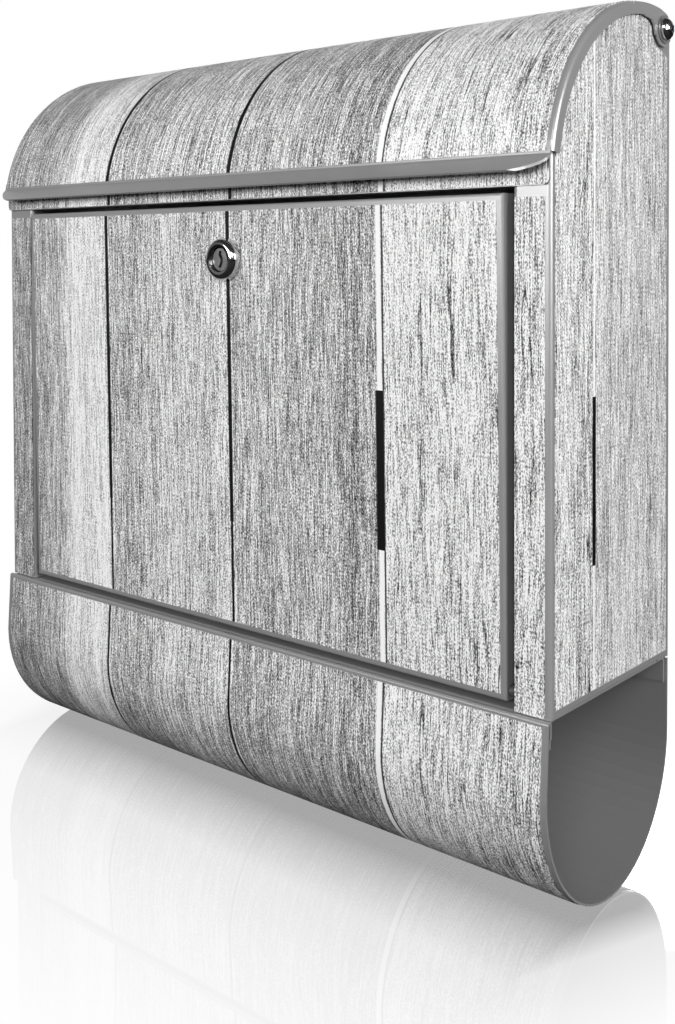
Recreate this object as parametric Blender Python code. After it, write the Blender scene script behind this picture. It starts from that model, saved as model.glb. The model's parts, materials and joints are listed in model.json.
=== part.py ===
"""Wall mounted mailbox with a newspaper tray.

A folded sheet-metal body hangs flat on a wall. A rolled lid turns on two screws near the wall, a flat
door turns on two pins along its bottom edge, and a cam lock holds the door behind the front rail.
Below the body hangs a rolled tray, open at both ends. A printed film covers the faces that show.

Frame: +X to the right as seen from the front, +Y into the wall, +Z up. The origin is the middle of the
back panel's outer face, on the wall plane. Metres.
"""

import math

import bmesh
import bpy
from mathutils import Matrix

# ---- driving dimensions -------------------------------------------------------------------------
BODY_WIDTH = 0.385
BODY_HEIGHT = 0.300
BODY_DEPTH = 0.1115
SHEET = 0.001
FIT = 0.0003            # gap kept between pieces that touch
BEND = 0.0018           # mid-sheet radius of a fold

LID_PROUD = 0.0037      # the rolled lid in front of the body
LID_RISE = 0.0150       # the lid's top above the body's rear corners
LID_CENTRE_Y = -0.0247  # axis of the lid's arc
LID_SIDE_GAP = 0.0010   # between the side wall and the lid's flange
LID_FLANGE = 0.0056     # how far the flange reaches in from the lid's outer face
LID_REAR_Y = -0.0130
LID_FLANGE_END = 0.0015     # the flange stops this far above the lip
LIP_ABOVE_CENTRE = 0.0140   # the lip's upper edge above the axis of the lid's arc
LIP_OUT = 0.0080
LIP_DROP = 0.0065
LIP_TAPER = 0.0280      # length of the rounded corner at each end of the lip
LIP_BEND = 0.0015
LID_OVER_BODY = 0.0010  # between the lid's sheet and the top edge of the side wall

PIVOT_Y = -0.0100
PIVOT_RISE = 0.0045     # above the body's rear corners
EAR_RADIUS = 0.0082
EAR_HOLLOW_IN = 1.95    # centre and radius of the hollow below the ear, in ear radii
EAR_HOLLOW_DOWN = 0.42
EAR_HOLLOW_RADIUS = 0.90
PIVOT_SHANK = 0.0020
PIVOT_HEAD_RADIUS = 0.0053
PIVOT_HEAD_HEIGHT = 0.0034
PIVOT_WASHER_RADIUS = 0.0066
PIVOT_WASHER = 0.0006
PIVOT_NUT_ACROSS = 0.0070
PIVOT_NUT = 0.0032
PIVOT_SPACER_RADIUS = 0.0045
PIVOT_SHANK_END = 0.0012    # of the screw beyond its nut
PIVOT_CROSS_LENGTH = 0.0048
PIVOT_CROSS_WIDTH = 0.0010
PIVOT_CROSS_DEPTH = 0.0014

OPENING_CENTRE_X = 0.0020
FRONT_STRIP = 0.0210    # mean width of the two front returns beside the door
JAMB_DEPTH = 0.0120
DOOR_GAP = 0.0030       # at each side of the door
DOOR_BOTTOM = 0.0033    # above the body's bottom edge
DOOR_DEPTH = 0.0120
DOOR_EDGE = 0.0012
DOOR_LEAN = math.radians(0.9)   # play of the latch, which lets the top of the door lean out
HINGE_INSET = 0.0040    # hinge axis behind the door's face and above its bottom edge
HINGE_PIN = 0.0015
HINGE_HEAD = 0.0027
HINGE_HEAD_HEIGHT = 0.0010
HINGE_PIN_END = 0.0015  # of the pin beyond the jamb

RAIL_PROUD = 0.0012     # front face of the top rail in front of the body
RAIL_HEIGHT = 0.0125
RAIL_BOTTOM_GAP = 0.0027    # between the door's top edge and the rail
RAIL_CORNER = 0.0030
RAIL_RETURN = 0.0100    # how far the rail's flanges reach back from the body's front

LOCK_BELOW_TOP = 0.0279
LOCK_COLLAR = 0.0111
LOCK_PROUD = 0.0052
LOCK_FACE = 0.0078      # radius of the flat front of the collar's opening
LOCK_RIM = 0.0012       # straight edge of the collar against the door
LOCK_DISH = 0.0010      # the collar's opening below its crown
LOCK_DISH_EDGE = 0.0006
LOCK_BARREL = 0.0080
LOCK_PLUG = 0.0062
PLUG_RECESS = 0.0008
PLUG_CHAMFER = 0.0004
KEYWAY = ((0, 0.0044), (-0.0004, 0.0024), (0.0010, 0.0006), (0.0009, -0.0012), (-0.0004, -0.0042))
KEYWAY_WIDTH = 0.0018
KEYWAY_DEPTH = 0.0035
LOCK_NUT_ACROSS = 0.0210
LOCK_NUT = 0.0030
CAM_WIDTH = 0.0130
CAM_THICK = 0.0020
CAM_OVERLAP = 0.0060    # how far the turned cam reaches above the rail's lower edge
CAM_CORNER = 0.0020
CAM_SQUARE = 0.00286    # half of the square tail that turns the cam
TAIL_ROOT = 0.0010      # of the tail inside the plug
CAM_SCREW_SHANK = 0.0013
CAM_SCREW_LENGTH = 0.0060
CAM_SCREW_HEAD = 0.0044
CAM_SCREW_HEIGHT = 0.0022
CAM_SCREW_EDGE = 0.0010

TRAY_DROP = 0.0345      # straight legs of the tray
TRAY_BELLY = 0.0620     # height of the rounded bottom
TRAY_FRONT = 0.0042     # the tray's belly in front of the body's front
TRAY_TOP_FRONT = 0.0022     # its top edge in front of the body's front
TRAY_HEM = 0.0070
TRAY_HEM_STEP = 0.0018  # between the two layers of the folded top edge
TRAY_HEM_BEND = 0.45 * TRAY_HEM_STEP
FLOOR_FLANGE = 0.0120
RIVET_RADIUS = 0.0016
RIVET_HEAD = 0.0032
RIVET_HEIGHT = 0.0012
RIVET_TAIL = 0.0002
RIVET_INSET = 0.0425    # of the outer rivets from the body's sides

FLANGE = 0.0120         # width of the inner flanges that join the body's sheets
SIDE_NOTCH_FRONT = 0.0160   # from the body's front to where the lower edge steps up
SIDE_NOTCH_BACK = 0.0110
SIDE_NOTCH = 0.0008
BACK_RISE = 0.0050      # the back panel above the side walls' rear corners
WALL_HOLE_RADIUS = 0.0035
WALL_HOLE_INSET_X = 0.0525
WALL_HOLE_INSET_Z = 0.0450

FILM = 0.00025
FILM_GAP = 0.00005
FILM_MARGIN = 0.0030    # bare metal left round the film
LID_FILM_MARGIN = 0.0032
SIDE_FILM_LOWER = 0.0036
FILM_BELOW_EAR = 0.0080
FILM_ROUND_EAR = 0.0014
STRIP_FILM_TOP = 0.0048 # below the rail
RAIL_FILM_LOWER = 0.0004
RAIL_FILM_UPPER = 0.0008
TRAY_FILM_UPPER = 0.0018

# A piece of sheet that is joined to another is a hair thinner, so that their faces don't coincide.
JOINED_SHEET = 0.97
JOINED_INSET = 0.00003
DRILL = 0.0060          # length of a cutter for a hole through one sheet
LID_STEPS = 30
SHARP_ANGLE = math.radians(35)

# ---- derived places -----------------------------------------------------------------------------
HALF_WIDTH = BODY_WIDTH / 2
BOTTOM_Z = -BODY_HEIGHT / 2
TOP_Z = BODY_HEIGHT / 2
FRONT_Y = -BODY_DEPTH
LID_RADIUS = BODY_DEPTH + LID_PROUD + LID_CENTRE_Y
LID_CENTRE_Z = TOP_Z + LID_RISE - LID_RADIUS
LIP_TOP_Z = LID_CENTRE_Z + LIP_ABOVE_CENTRE
LID_FLANGE_END_Z = LIP_TOP_Z + LID_FLANGE_END
PIVOT_Z = TOP_Z + PIVOT_RISE
OPENING_WIDTH = BODY_WIDTH - 2 * FRONT_STRIP
OPENING_LEFT = OPENING_CENTRE_X - OPENING_WIDTH / 2
OPENING_RIGHT = OPENING_CENTRE_X + OPENING_WIDTH / 2
DOOR_WIDTH = OPENING_WIDTH - 2 * DOOR_GAP
DOOR_LOW_Z = BOTTOM_Z + DOOR_BOTTOM
RAIL_BOTTOM_Z = LIP_TOP_Z - RAIL_HEIGHT
DOOR_TOP_Z = RAIL_BOTTOM_Z - RAIL_BOTTOM_GAP
HINGE_Y = FRONT_Y + HINGE_INSET
HINGE_Z = DOOR_LOW_Z + HINGE_INSET
LOCK_Z = DOOR_TOP_Z - LOCK_BELOW_TOP
RAIL_RETURN_Y = FRONT_Y + RAIL_RETURN
CAM_REACH = RAIL_BOTTOM_Z + CAM_OVERLAP - LOCK_Z
CAM_Y = RAIL_RETURN_Y + math.sin(DOOR_LEAN) * (LOCK_Z + CAM_REACH - HINGE_Z) + 2 * FIT
FLANGE_INNER_X = HALF_WIDTH + LID_SIDE_GAP
FLANGE_OUTER_X = FLANGE_INNER_X + SHEET
FLOOR_Z = BOTTOM_Z - FIT - SHEET / 2
TRAY_BACK_Y = -SHEET / 2
TRAY_FRONT_Y = FRONT_Y - TRAY_FRONT + SHEET / 2
TRAY_TOP_Y = FRONT_Y - TRAY_TOP_FRONT + SHEET / 2
SIDE_TOP_RADIUS = LID_RADIUS - SHEET - LID_OVER_BODY
LOCK_SEAT = FRONT_Y - FILM - 2 * FILM_GAP - FIT     # back of the collar
LOCK_FRONT = LOCK_SEAT - LOCK_PROUD

# ---- materials ----------------------------------------------------------------------------------


def material(name, colour, roughness, metallic):
    made = bpy.data.materials.new(name)
    made.use_nodes = True
    shader = made.node_tree.nodes["Principled BSDF"]
    shader.inputs["Base Color"].default_value = (*colour, 1.0)
    shader.inputs["Roughness"].default_value = roughness
    shader.inputs["Metallic"].default_value = metallic
    return made


def clear_scene():
    for obj in list(bpy.data.objects):
        bpy.data.objects.remove(obj, do_unlink=True)


# ---- outlines -----------------------------------------------------------------------------------


def arc(centre, radius, start, end, steps):
    """Points on a circle or, with a pair of radii, an ellipse; the angles are in degrees."""
    across, up = radius if isinstance(radius, tuple) else (radius, radius)
    angles = [math.radians(start + (end - start) * i / steps) for i in range(steps + 1)]
    return [(centre[0] + across * math.cos(a), centre[1] + up * math.sin(a)) for a in angles]


def unit(x, y):
    length = math.hypot(x, y)
    return x / length, y / length


def filleted(points, radius, steps=4):
    """The open path with every inner corner rounded to the radius."""
    path = [points[0]]
    for before, corner, after in zip(points, points[1:], points[2:]):
        back = unit(before[0] - corner[0], before[1] - corner[1])
        on = unit(after[0] - corner[0], after[1] - corner[1])
        half = math.acos(max(-1.0, min(1.0, back[0] * on[0] + back[1] * on[1]))) / 2
        middle = unit(back[0] + on[0], back[1] + on[1])
        centre = [corner[i] + middle[i] * radius / math.sin(half) for i in (0, 1)]
        tangents = [[corner[i] + d[i] * radius / math.tan(half) for i in (0, 1)] for d in (back, on)]
        turn = [math.atan2(p[1] - centre[1], p[0] - centre[0]) for p in tangents]
        sweep = (turn[1] - turn[0] + math.pi) % (2 * math.pi) - math.pi
        path += [
            (centre[0] + radius * math.cos(turn[0] + sweep * i / steps),
             centre[1] + radius * math.sin(turn[0] + sweep * i / steps))
            for i in range(steps + 1)
        ]
    path.append(points[-1])
    return path


def offset(path, distance):
    """The open path moved sideways, to the left of its direction."""
    moved = []
    for i, point in enumerate(path):
        before = path[max(i - 1, 0)]
        after = path[min(i + 1, len(path) - 1)]
        first = unit(point[0] - before[0], point[1] - before[1]) if i else None
        second = unit(after[0] - point[0], after[1] - point[1]) if i < len(path) - 1 else None
        first = first or second
        second = second or first
        normal = unit(-first[1] - second[1], first[0] + second[0])
        stretch = distance / (-first[1] * normal[0] + first[0] * normal[1])
        moved.append((point[0] + normal[0] * stretch, point[1] + normal[1] * stretch))
    return moved


def strip(path, thickness):
    """Closed outline of a sheet seen edge on, with the path along its middle."""
    return offset(path, thickness / 2) + offset(path, -thickness / 2)[::-1]


def rectangle(low, high):
    return [(low[0], low[1]), (high[0], low[1]), (high[0], high[1]), (low[0], high[1])]


# ---- solids -------------------------------------------------------------------------------------

# An outline's two axes and the way it is extruded, as the columns of a turn.
ALONG_X = Matrix(((0, 0, 1), (1, 0, 0), (0, 1, 0)))
ALONG_Y = Matrix(((1, 0, 0), (0, 0, -1), (0, 1, 0)))
ALONG_Z = Matrix.Identity(3)


class Workshop:
    """Makes objects in the part's collection, or in the hidden one that holds the cutters."""

    def __init__(self):
        self.parts = bpy.data.collections.new("mailbox")
        self.cutters = bpy.data.collections.new("cutters")
        for collection in (self.parts, self.cutters):
            bpy.context.scene.collection.children.link(collection)

    def place(self, name, mesh, finish):
        obj = bpy.data.objects.new(name, mesh)
        if finish is None:
            self.cutters.objects.link(obj)
            obj.hide_render = True
            obj.display_type = "WIRE"
        else:
            self.parts.objects.link(obj)
            mesh.materials.clear()
            mesh.materials.append(finish)
            mesh.shade_smooth()
            mesh.set_sharp_from_angle(angle=SHARP_ANGLE)
        return obj

    def extruded(self, name, outlines, low, high, way, finish=None):
        """A flat outline, with any further outlines as holes, extruded from low to high."""
        curve = bpy.data.curves.new(name, "CURVE")
        curve.dimensions = "2D"
        curve.fill_mode = "BOTH"
        curve.extrude = (high - low) / 2
        for outline in outlines:
            spline = curve.splines.new("POLY")
            spline.points.add(len(outline) - 1)
            for point, (u, v) in zip(spline.points, outline):
                point.co = (u, v, 0, 1)
            spline.use_cyclic_u = True
        drawn = bpy.data.objects.new(name + "_outline", curve)
        self.cutters.objects.link(drawn)
        bpy.context.view_layer.update()
        graph = bpy.context.evaluated_depsgraph_get()
        mesh = bpy.data.meshes.new_from_object(drawn.evaluated_get(graph))
        mesh.name = name
        bpy.data.objects.remove(drawn, do_unlink=True)
        middle = (low + high) / 2 * (-1 if way is ALONG_Y else 1)
        mesh.transform(way.to_4x4() @ Matrix.Translation((0, 0, middle)))
        self.weld(mesh)
        return self.place(name, mesh, finish)

    def weld(self, mesh):
        shape = bmesh.new()
        shape.from_mesh(mesh)
        bmesh.ops.remove_doubles(shape, verts=shape.verts, dist=0.000005)
        bmesh.ops.recalc_face_normals(shape, faces=shape.faces)
        shape.to_mesh(mesh)
        shape.free()

    def swept(self, name, section, centre, start, end, steps, finish=None):
        """A closed section of (x, radius) points turned about an axis along X, angles in degrees."""
        shape = bmesh.new()
        cos, sin = math.cos(math.radians(start)), math.sin(math.radians(start))
        verts = [shape.verts.new((x, centre[0] + r * cos, centre[1] + r * sin)) for x, r in section]
        face = shape.faces.new(verts)
        geometry = [face, *face.edges, *face.verts]
        bmesh.ops.spin(
            shape, geom=geometry, cent=(0, *centre), axis=(1, 0, 0),
            angle=math.radians(end - start), steps=steps, use_duplicate=False,
        )
        bmesh.ops.recalc_face_normals(shape, faces=shape.faces)
        mesh = bpy.data.meshes.new(name)
        shape.to_mesh(mesh)
        shape.free()
        return self.place(name, mesh, finish)

    def turned(self, name, profile, steps, finish=None):
        """A closed profile of (radius, height) points turned about local Z."""
        shape = bmesh.new()
        verts = [shape.verts.new((radius, 0, height)) for radius, height in profile]
        edges = [shape.edges.new(pair) for pair in zip(verts, verts[1:] + verts[:1])]
        bmesh.ops.spin(
            shape, geom=[*edges, *verts], cent=(0, 0, 0), axis=(0, 0, 1),
            angle=2 * math.pi, steps=steps, use_merge=True, use_duplicate=False,
        )
        mesh = bpy.data.meshes.new(name)
        shape.to_mesh(mesh)
        shape.free()
        self.weld(mesh)
        return self.place(name, mesh, finish)

    def box(self, name, low, high, finish=None, bevel=0.0):
        shape = bmesh.new()
        bmesh.ops.create_cube(shape, size=1.0)
        size = [b - a for a, b in zip(low, high)]
        middle = [(a + b) / 2 for a, b in zip(low, high)]
        bmesh.ops.scale(shape, vec=size, verts=shape.verts)
        bmesh.ops.translate(shape, vec=middle, verts=shape.verts)
        if bevel:
            front = [e for e in shape.edges if all(abs(v.co.y - low[1]) < 1e-6 for v in e.verts)]
            bmesh.ops.bevel(shape, geom=front, offset=bevel, segments=3, profile=0.5, affect="EDGES")
        mesh = bpy.data.meshes.new(name)
        shape.to_mesh(mesh)
        shape.free()
        return self.place(name, mesh, finish)

    def cylinder(self, name, radius, depth, sides, finish=None):
        shape = bmesh.new()
        bmesh.ops.create_cone(
            shape, cap_ends=True, segments=sides, radius1=radius, radius2=radius, depth=depth
        )
        mesh = bpy.data.meshes.new(name)
        shape.to_mesh(mesh)
        shape.free()
        return self.place(name, mesh, finish)

    def combine(self, obj, other, operation, solver="EXACT"):
        step = obj.modifiers.new(f"{operation.title()} {other.name}"[:60], "BOOLEAN")
        step.operation = operation
        step.object = other
        step.solver = solver
        return step


def point_along_x(obj, x, y, z, side=1):
    """Places a piece made along local Z so that its local +Z points to the side, +X or -X."""
    obj.location = (x, y, z)
    obj.rotation_euler = (0, side * math.pi / 2, 0)
    return obj


def point_forward(obj, x, y, z):
    """Places a piece made along local Z so that its local +Z points out of the front."""
    obj.location = (x, y, z)
    obj.rotation_euler = (math.pi / 2, 0, 0)
    return obj


# ---- body ---------------------------------------------------------------------------------------


def side_profile():
    """Outline of the side wall in Y and Z: straight legs, the lid's arc above and an ear at the back."""
    radius = SIDE_TOP_RADIUS
    centre = (LID_CENTRE_Y, LID_CENTRE_Z)
    front_angle = math.degrees(math.acos((FRONT_Y - LID_CENTRE_Y) / radius))
    outline = [(FRONT_Y, BOTTOM_Z)]
    outline += [(FRONT_Y + SIDE_NOTCH_FRONT, BOTTOM_Z), (FRONT_Y + SIDE_NOTCH_FRONT, BOTTOM_Z + SIDE_NOTCH)]
    outline += [(-SIDE_NOTCH_BACK, BOTTOM_Z + SIDE_NOTCH), (-SIDE_NOTCH_BACK, BOTTOM_Z), (0, BOTTOM_Z)]
    outline += [(0, TOP_Z)]
    outline += arc((PIVOT_Y, PIVOT_Z), EAR_RADIUS - SHEET, -10, 110, 8)
    outline += arc(centre, radius, 88, front_angle, 20)
    return outline


def side_panel(shop, side, finish):
    """Side wall, front return, door jamb and lower flange, folded from one sheet."""
    name = "side_panel_right" if side > 0 else "side_panel_left"
    jamb = (OPENING_RIGHT if side > 0 else -OPENING_LEFT) + SHEET / 2
    outer = HALF_WIDTH - SHEET / 2
    front = FRONT_Y + SHEET / 2
    path = [(jamb, FRONT_Y + JAMB_DEPTH), (jamb, front), (outer, front), (outer, 0)]
    path = filleted(path, BEND)
    outline = strip(path, SHEET)
    if side < 0:
        outline = [(-x, y) for x, y in outline]
    panel = shop.extruded(name, [outline], BOTTOM_Z, LID_CENTRE_Z + LID_RADIUS, ALONG_Z, finish)
    reach = sorted((side * (jamb - JAMB_DEPTH), side * (HALF_WIDTH + JAMB_DEPTH)))
    trim = shop.extruded(name + "_trim", [side_profile()], *reach, ALONG_X)
    shop.combine(panel, trim, "INTERSECT")
    above = sorted((side * (jamb - SHEET), side * (HALF_WIDTH - SHEET - FIT)))
    above_low = (above[0], FRONT_Y - SHEET, LIP_TOP_Z)
    above_high = (above[1], FRONT_Y + JAMB_DEPTH + SHEET, LID_CENTRE_Z + LID_RADIUS + SHEET)
    shop.combine(panel, shop.box(name + "_above_rail", above_low, above_high), "DIFFERENCE")
    lower = sorted((side * (HALF_WIDTH - FLANGE), side * (HALF_WIDTH - SHEET / 2)))
    flange_low = (lower[0], FRONT_Y + SIDE_NOTCH_FRONT + SHEET, BOTTOM_Z + SIDE_NOTCH)
    flange_high = (lower[1], -SIDE_NOTCH_BACK - SHEET, BOTTOM_Z + SIDE_NOTCH + SHEET)
    shop.combine(panel, shop.box(name + "_lower_flange", flange_low, flange_high), "UNION")
    for label, radius, y, z in (
        ("lid_hole", PIVOT_SHANK + FIT, PIVOT_Y, PIVOT_Z),
        ("door_hole", HINGE_PIN + FIT, HINGE_Y, HINGE_Z),
    ):
        drill = shop.cylinder(f"{name}_{label}", radius, 4 * SHEET, 24)
        x = outer if label == "lid_hole" else jamb
        point_along_x(drill, side * x, y, z)
        shop.combine(panel, drill, "DIFFERENCE")
    return panel


def back_panel(shop, finish):
    """Flat back with two forward flanges inside the side walls and four screw holes."""
    edge = HALF_WIDTH - SHEET - FIT - SHEET / 2
    path = [(-edge, -FLANGE), (-edge, -SHEET / 2), (edge, -SHEET / 2), (edge, -FLANGE)]
    outline = strip(filleted(path, BEND), SHEET)
    lower = BOTTOM_Z + SIDE_NOTCH + SHEET + FIT
    panel = shop.extruded("back_panel", [outline], lower, TOP_Z + BACK_RISE, ALONG_Z, finish)
    for column in (-1, 1):
        for row in (-1, 1):
            drill = shop.cylinder(f"wall_hole_{column}_{row}", WALL_HOLE_RADIUS, DRILL, 32)
            across = column * (HALF_WIDTH - WALL_HOLE_INSET_X)
            point_forward(drill, across, -SHEET / 2, row * (TOP_Z - WALL_HOLE_INSET_Z))
            shop.combine(panel, drill, "DIFFERENCE")
    trim_low = (-BODY_WIDTH, -FLANGE - SHEET, TOP_Z - 2 * BACK_RISE)
    trim_high = (BODY_WIDTH, -SHEET - 2 * FIT, TOP_Z + 2 * BACK_RISE)
    shop.combine(panel, shop.box("back_panel_pivot_relief", trim_low, trim_high), "DIFFERENCE")
    return panel


def floor_panel(shop, finish):
    """Floor of the letter compartment, with a flange down at the front and the back for the tray."""
    front = TRAY_TOP_Y + TRAY_HEM_STEP + SHEET + FIT
    back = TRAY_BACK_Y - SHEET - FIT
    path = [(front, FLOOR_Z - FLOOR_FLANGE), (front, FLOOR_Z)]
    path += [(back, FLOOR_Z), (back, FLOOR_Z - FLOOR_FLANGE)]
    edge = HALF_WIDTH - SHEET - FIT
    panel = shop.extruded("floor_panel", [strip(filleted(path, BEND), SHEET)], -edge, edge, ALONG_X, finish)
    drill_rivets(shop, panel, back)
    return panel


def rivet_places():
    outer = HALF_WIDTH - RIVET_INSET
    return [(-outer, "left"), (0.0, "middle"), (outer, "right")]


def drill_rivets(shop, panel, y):
    for x, label in rivet_places():
        drill = shop.cylinder(f"{panel.name}_rivet_hole_{label}", RIVET_RADIUS + FIT, 4 * SHEET, 20)
        point_forward(drill, x, y, FLOOR_Z - FLOOR_FLANGE / 2)
        shop.combine(panel, drill, "DIFFERENCE")


def front_top_rail(shop, finish):
    """Rail above the door: a front plate with rounded lower corners and two flanges going back."""
    low = RAIL_BOTTOM_Z
    high = LIP_TOP_Z
    half = HALF_WIDTH - FIT
    outline = [(half, high), (-half, high)]
    outline += arc((-half + RAIL_CORNER, low + RAIL_CORNER), RAIL_CORNER, 180, 270, 5)
    outline += arc((half - RAIL_CORNER, low + RAIL_CORNER), RAIL_CORNER, 270, 360, 5)
    front = FRONT_Y - RAIL_PROUD
    rail = shop.extruded("front_top_rail", [outline], front, front + SHEET, ALONG_Y, finish)
    reach = [(RAIL_RETURN_Y, low + SHEET / 2), (front + SHEET / 2, low + SHEET / 2)]
    reach += [(front + SHEET / 2, high - SHEET / 2), (RAIL_RETURN_Y, high - SHEET / 2)]
    channel = strip(filleted(reach, SHEET), SHEET * JOINED_SHEET)
    inside = (OPENING_LEFT + 2 * FIT, OPENING_RIGHT - 2 * FIT)
    shop.combine(rail, shop.extruded("front_top_rail_channel", [channel], *inside, ALONG_X), "UNION")
    return rail


# ---- tray ---------------------------------------------------------------------------------------


def tray_path():
    """Middle of the tray's sheet in Y and Z, from the top of its front leg round to its back leg."""
    across = (TRAY_BACK_Y - TRAY_FRONT_Y) / 2
    centre = ((TRAY_BACK_Y + TRAY_FRONT_Y) / 2, BOTTOM_Z - TRAY_DROP)
    lower = arc(centre, (across, TRAY_BELLY - SHEET / 2), 180, 360, 30)
    top = BOTTOM_Z - FIT - SHEET / 2
    return [(TRAY_TOP_Y, top)] + lower + [(TRAY_BACK_Y, top)]


def newspaper_tray(shop, finish):
    path = tray_path()
    top = path[0]
    hem = [(top[0] + TRAY_HEM_STEP, top[1] - TRAY_HEM), (top[0] + TRAY_HEM_STEP, top[1]), top, path[1]]
    path = filleted(hem, TRAY_HEM_BEND) + path[2:]
    tray = shop.extruded("newspaper_tray", [strip(path, SHEET)], -HALF_WIDTH, HALF_WIDTH, ALONG_X, finish)
    drill_rivets(shop, tray, TRAY_BACK_Y)
    return tray


# ---- lid ----------------------------------------------------------------------------------------


def lid_angles():
    centre_y, centre_z = LID_CENTRE_Y, LID_CENTRE_Z
    rear = math.degrees(math.acos((LID_REAR_Y - centre_y) / LID_RADIUS))
    front = 180 - math.degrees(math.asin((LID_FLANGE_END_Z - centre_z) / LID_RADIUS))
    knee = 180 - math.degrees(math.asin((LIP_TOP_Z - centre_z) / LID_RADIUS))
    return rear, front, knee


def ear_outline():
    """The plate round the pivot: under the lid's arc, down the back, round the screw and up to the band."""
    centre = (LID_CENTRE_Y, LID_CENTRE_Z)
    rear, _, _ = lid_angles()
    outer = LID_RADIUS - SHEET / 2
    inner = LID_RADIUS - LID_FLANGE
    hollow = (PIVOT_Y - EAR_HOLLOW_IN * EAR_RADIUS, PIVOT_Z - EAR_HOLLOW_DOWN * EAR_RADIUS)
    outline = arc(centre, outer, 100, rear, 6)
    outline += arc((PIVOT_Y, PIVOT_Z), EAR_RADIUS, 75, -150, 18)
    outline += arc(hollow, EAR_HOLLOW_RADIUS * EAR_RADIUS, 0, 60, 5)
    outline += arc(centre, inner + SHEET / 2, 97, 100, 1)
    return outline


def lid(shop, finish):
    """Rolled sheet with a flange down each side, an ear at each pivot and a flared pull lip."""
    rear, front, knee = lid_angles()
    outer = FLANGE_OUTER_X - SHEET / 2
    radius = LID_RADIUS - SHEET / 2
    section = [(-outer, radius - LID_FLANGE), (-outer, radius), (outer, radius), (outer, radius - LID_FLANGE)]
    section = strip(filleted(section, BEND), SHEET)
    cover = shop.swept(
        "lid", section, (LID_CENTRE_Y, LID_CENTRE_Z), rear, front, LID_STEPS, finish
    )
    knee_at = arc((LID_CENTRE_Y, LID_CENTRE_Z), radius, front - 1.5, knee, 3)
    tip = (knee_at[-1][0] - LIP_OUT, knee_at[-1][1] - LIP_DROP)
    lip_path = knee_at[:-1] + filleted([knee_at[-2], knee_at[-1], tip], LIP_BEND)[1:]
    lip = strip(lip_path, SHEET * JOINED_SHEET)
    lip = shop.extruded("lid_lip", [lip], -FLANGE_INNER_X, FLANGE_INNER_X, ALONG_X)
    start = knee_at[-1][0] - SHEET
    depth = start - tip[0] + SHEET
    width = FLANGE_INNER_X
    plan = [(width, 0), (-width, 0)]
    plan += arc((-width + LIP_TAPER, start), (LIP_TAPER, depth), 180, 270, 10)
    plan += arc((width - LIP_TAPER, start), (LIP_TAPER, depth), 270, 360, 10)
    trim = shop.extruded("lid_lip_plan", [plan], LIP_TOP_Z - 0.03, LIP_TOP_Z + 0.03, ALONG_Z)
    shop.combine(lip, trim, "INTERSECT")
    shop.combine(cover, lip, "UNION", "MANIFOLD")
    for side, label in ((-1, "left"), (1, "right")):
        reach = sorted((side * (FLANGE_INNER_X + JOINED_INSET), side * (FLANGE_OUTER_X - JOINED_INSET)))
        ear = shop.extruded(f"lid_ear_{label}", [ear_outline()], *reach, ALONG_X)
        shop.combine(cover, ear, "UNION", "MANIFOLD")
        drill = shop.cylinder(f"lid_hole_{label}", PIVOT_SHANK + FIT, DRILL, 24)
        point_along_x(drill, side * (FLANGE_INNER_X + SHEET / 2), PIVOT_Y, PIVOT_Z)
        shop.combine(cover, drill, "DIFFERENCE", "MANIFOLD")
    return cover


def lid_pivot(shop, side, finishes):
    """Screw, washer, spacer and nut on one side, in line on the lid's axis."""
    label = "right" if side > 0 else "left"
    seat = FLANGE_OUTER_X + FIT
    head_at = seat + PIVOT_WASHER + FIT
    nut_at = HALF_WIDTH - SHEET - FIT
    shank_end = nut_at - PIVOT_NUT - PIVOT_SHANK_END
    dome = arc((0, 0), (PIVOT_HEAD_RADIUS, PIVOT_HEAD_HEIGHT), 90, 0, 8)
    profile = dome + [(PIVOT_SHANK, 0), (PIVOT_SHANK, shank_end - head_at)] + [(0, shank_end - head_at)]
    profile[0] = (0, PIVOT_HEAD_HEIGHT)
    screw = shop.turned(f"lid_pivot_screw_{label}", profile, 32, finishes["screw"])
    point_along_x(screw, side * head_at, PIVOT_Y, PIVOT_Z, side)
    for angle in (45, 135):
        slot = shop.box(
            f"lid_pivot_cross_{label}_{angle}",
            (-PIVOT_CROSS_LENGTH / 2, -PIVOT_CROSS_WIDTH / 2, PIVOT_HEAD_HEIGHT - PIVOT_CROSS_DEPTH),
            (PIVOT_CROSS_LENGTH / 2, PIVOT_CROSS_WIDTH / 2, PIVOT_HEAD_HEIGHT + SHEET),
        )
        turn = Matrix.Rotation(side * math.pi / 2, 4, "Y") @ Matrix.Rotation(math.radians(angle), 4, "Z")
        slot.matrix_world = Matrix.Translation((side * head_at, PIVOT_Y, PIVOT_Z)) @ turn
        shop.combine(screw, slot, "DIFFERENCE")
    ring(shop, f"lid_pivot_washer_{label}", PIVOT_WASHER_RADIUS, PIVOT_SHANK + FIT, seat, PIVOT_WASHER,
         side, finishes["washer"])
    ring(shop, f"lid_pivot_spacer_{label}", PIVOT_SPACER_RADIUS, PIVOT_SHANK + FIT, HALF_WIDTH + FIT / 2,
         LID_SIDE_GAP - FIT, side, finishes["spacer"])
    bore = PIVOT_SHANK + FIT
    nut = hex_nut(shop, f"lid_pivot_nut_{label}", PIVOT_NUT_ACROSS, bore, PIVOT_NUT, finishes["nut"])
    point_along_x(nut, side * (nut_at - PIVOT_NUT), PIVOT_Y, PIVOT_Z, side)


def ring(shop, name, outer, inner, start, thick, side, finish, y=PIVOT_Y, z=PIVOT_Z):
    profile = [(inner, thick), (outer, thick), (outer, 0), (inner, 0)]
    made = shop.turned(name, profile, 32, finish)
    return point_along_x(made, side * start, y, z, side)


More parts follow.
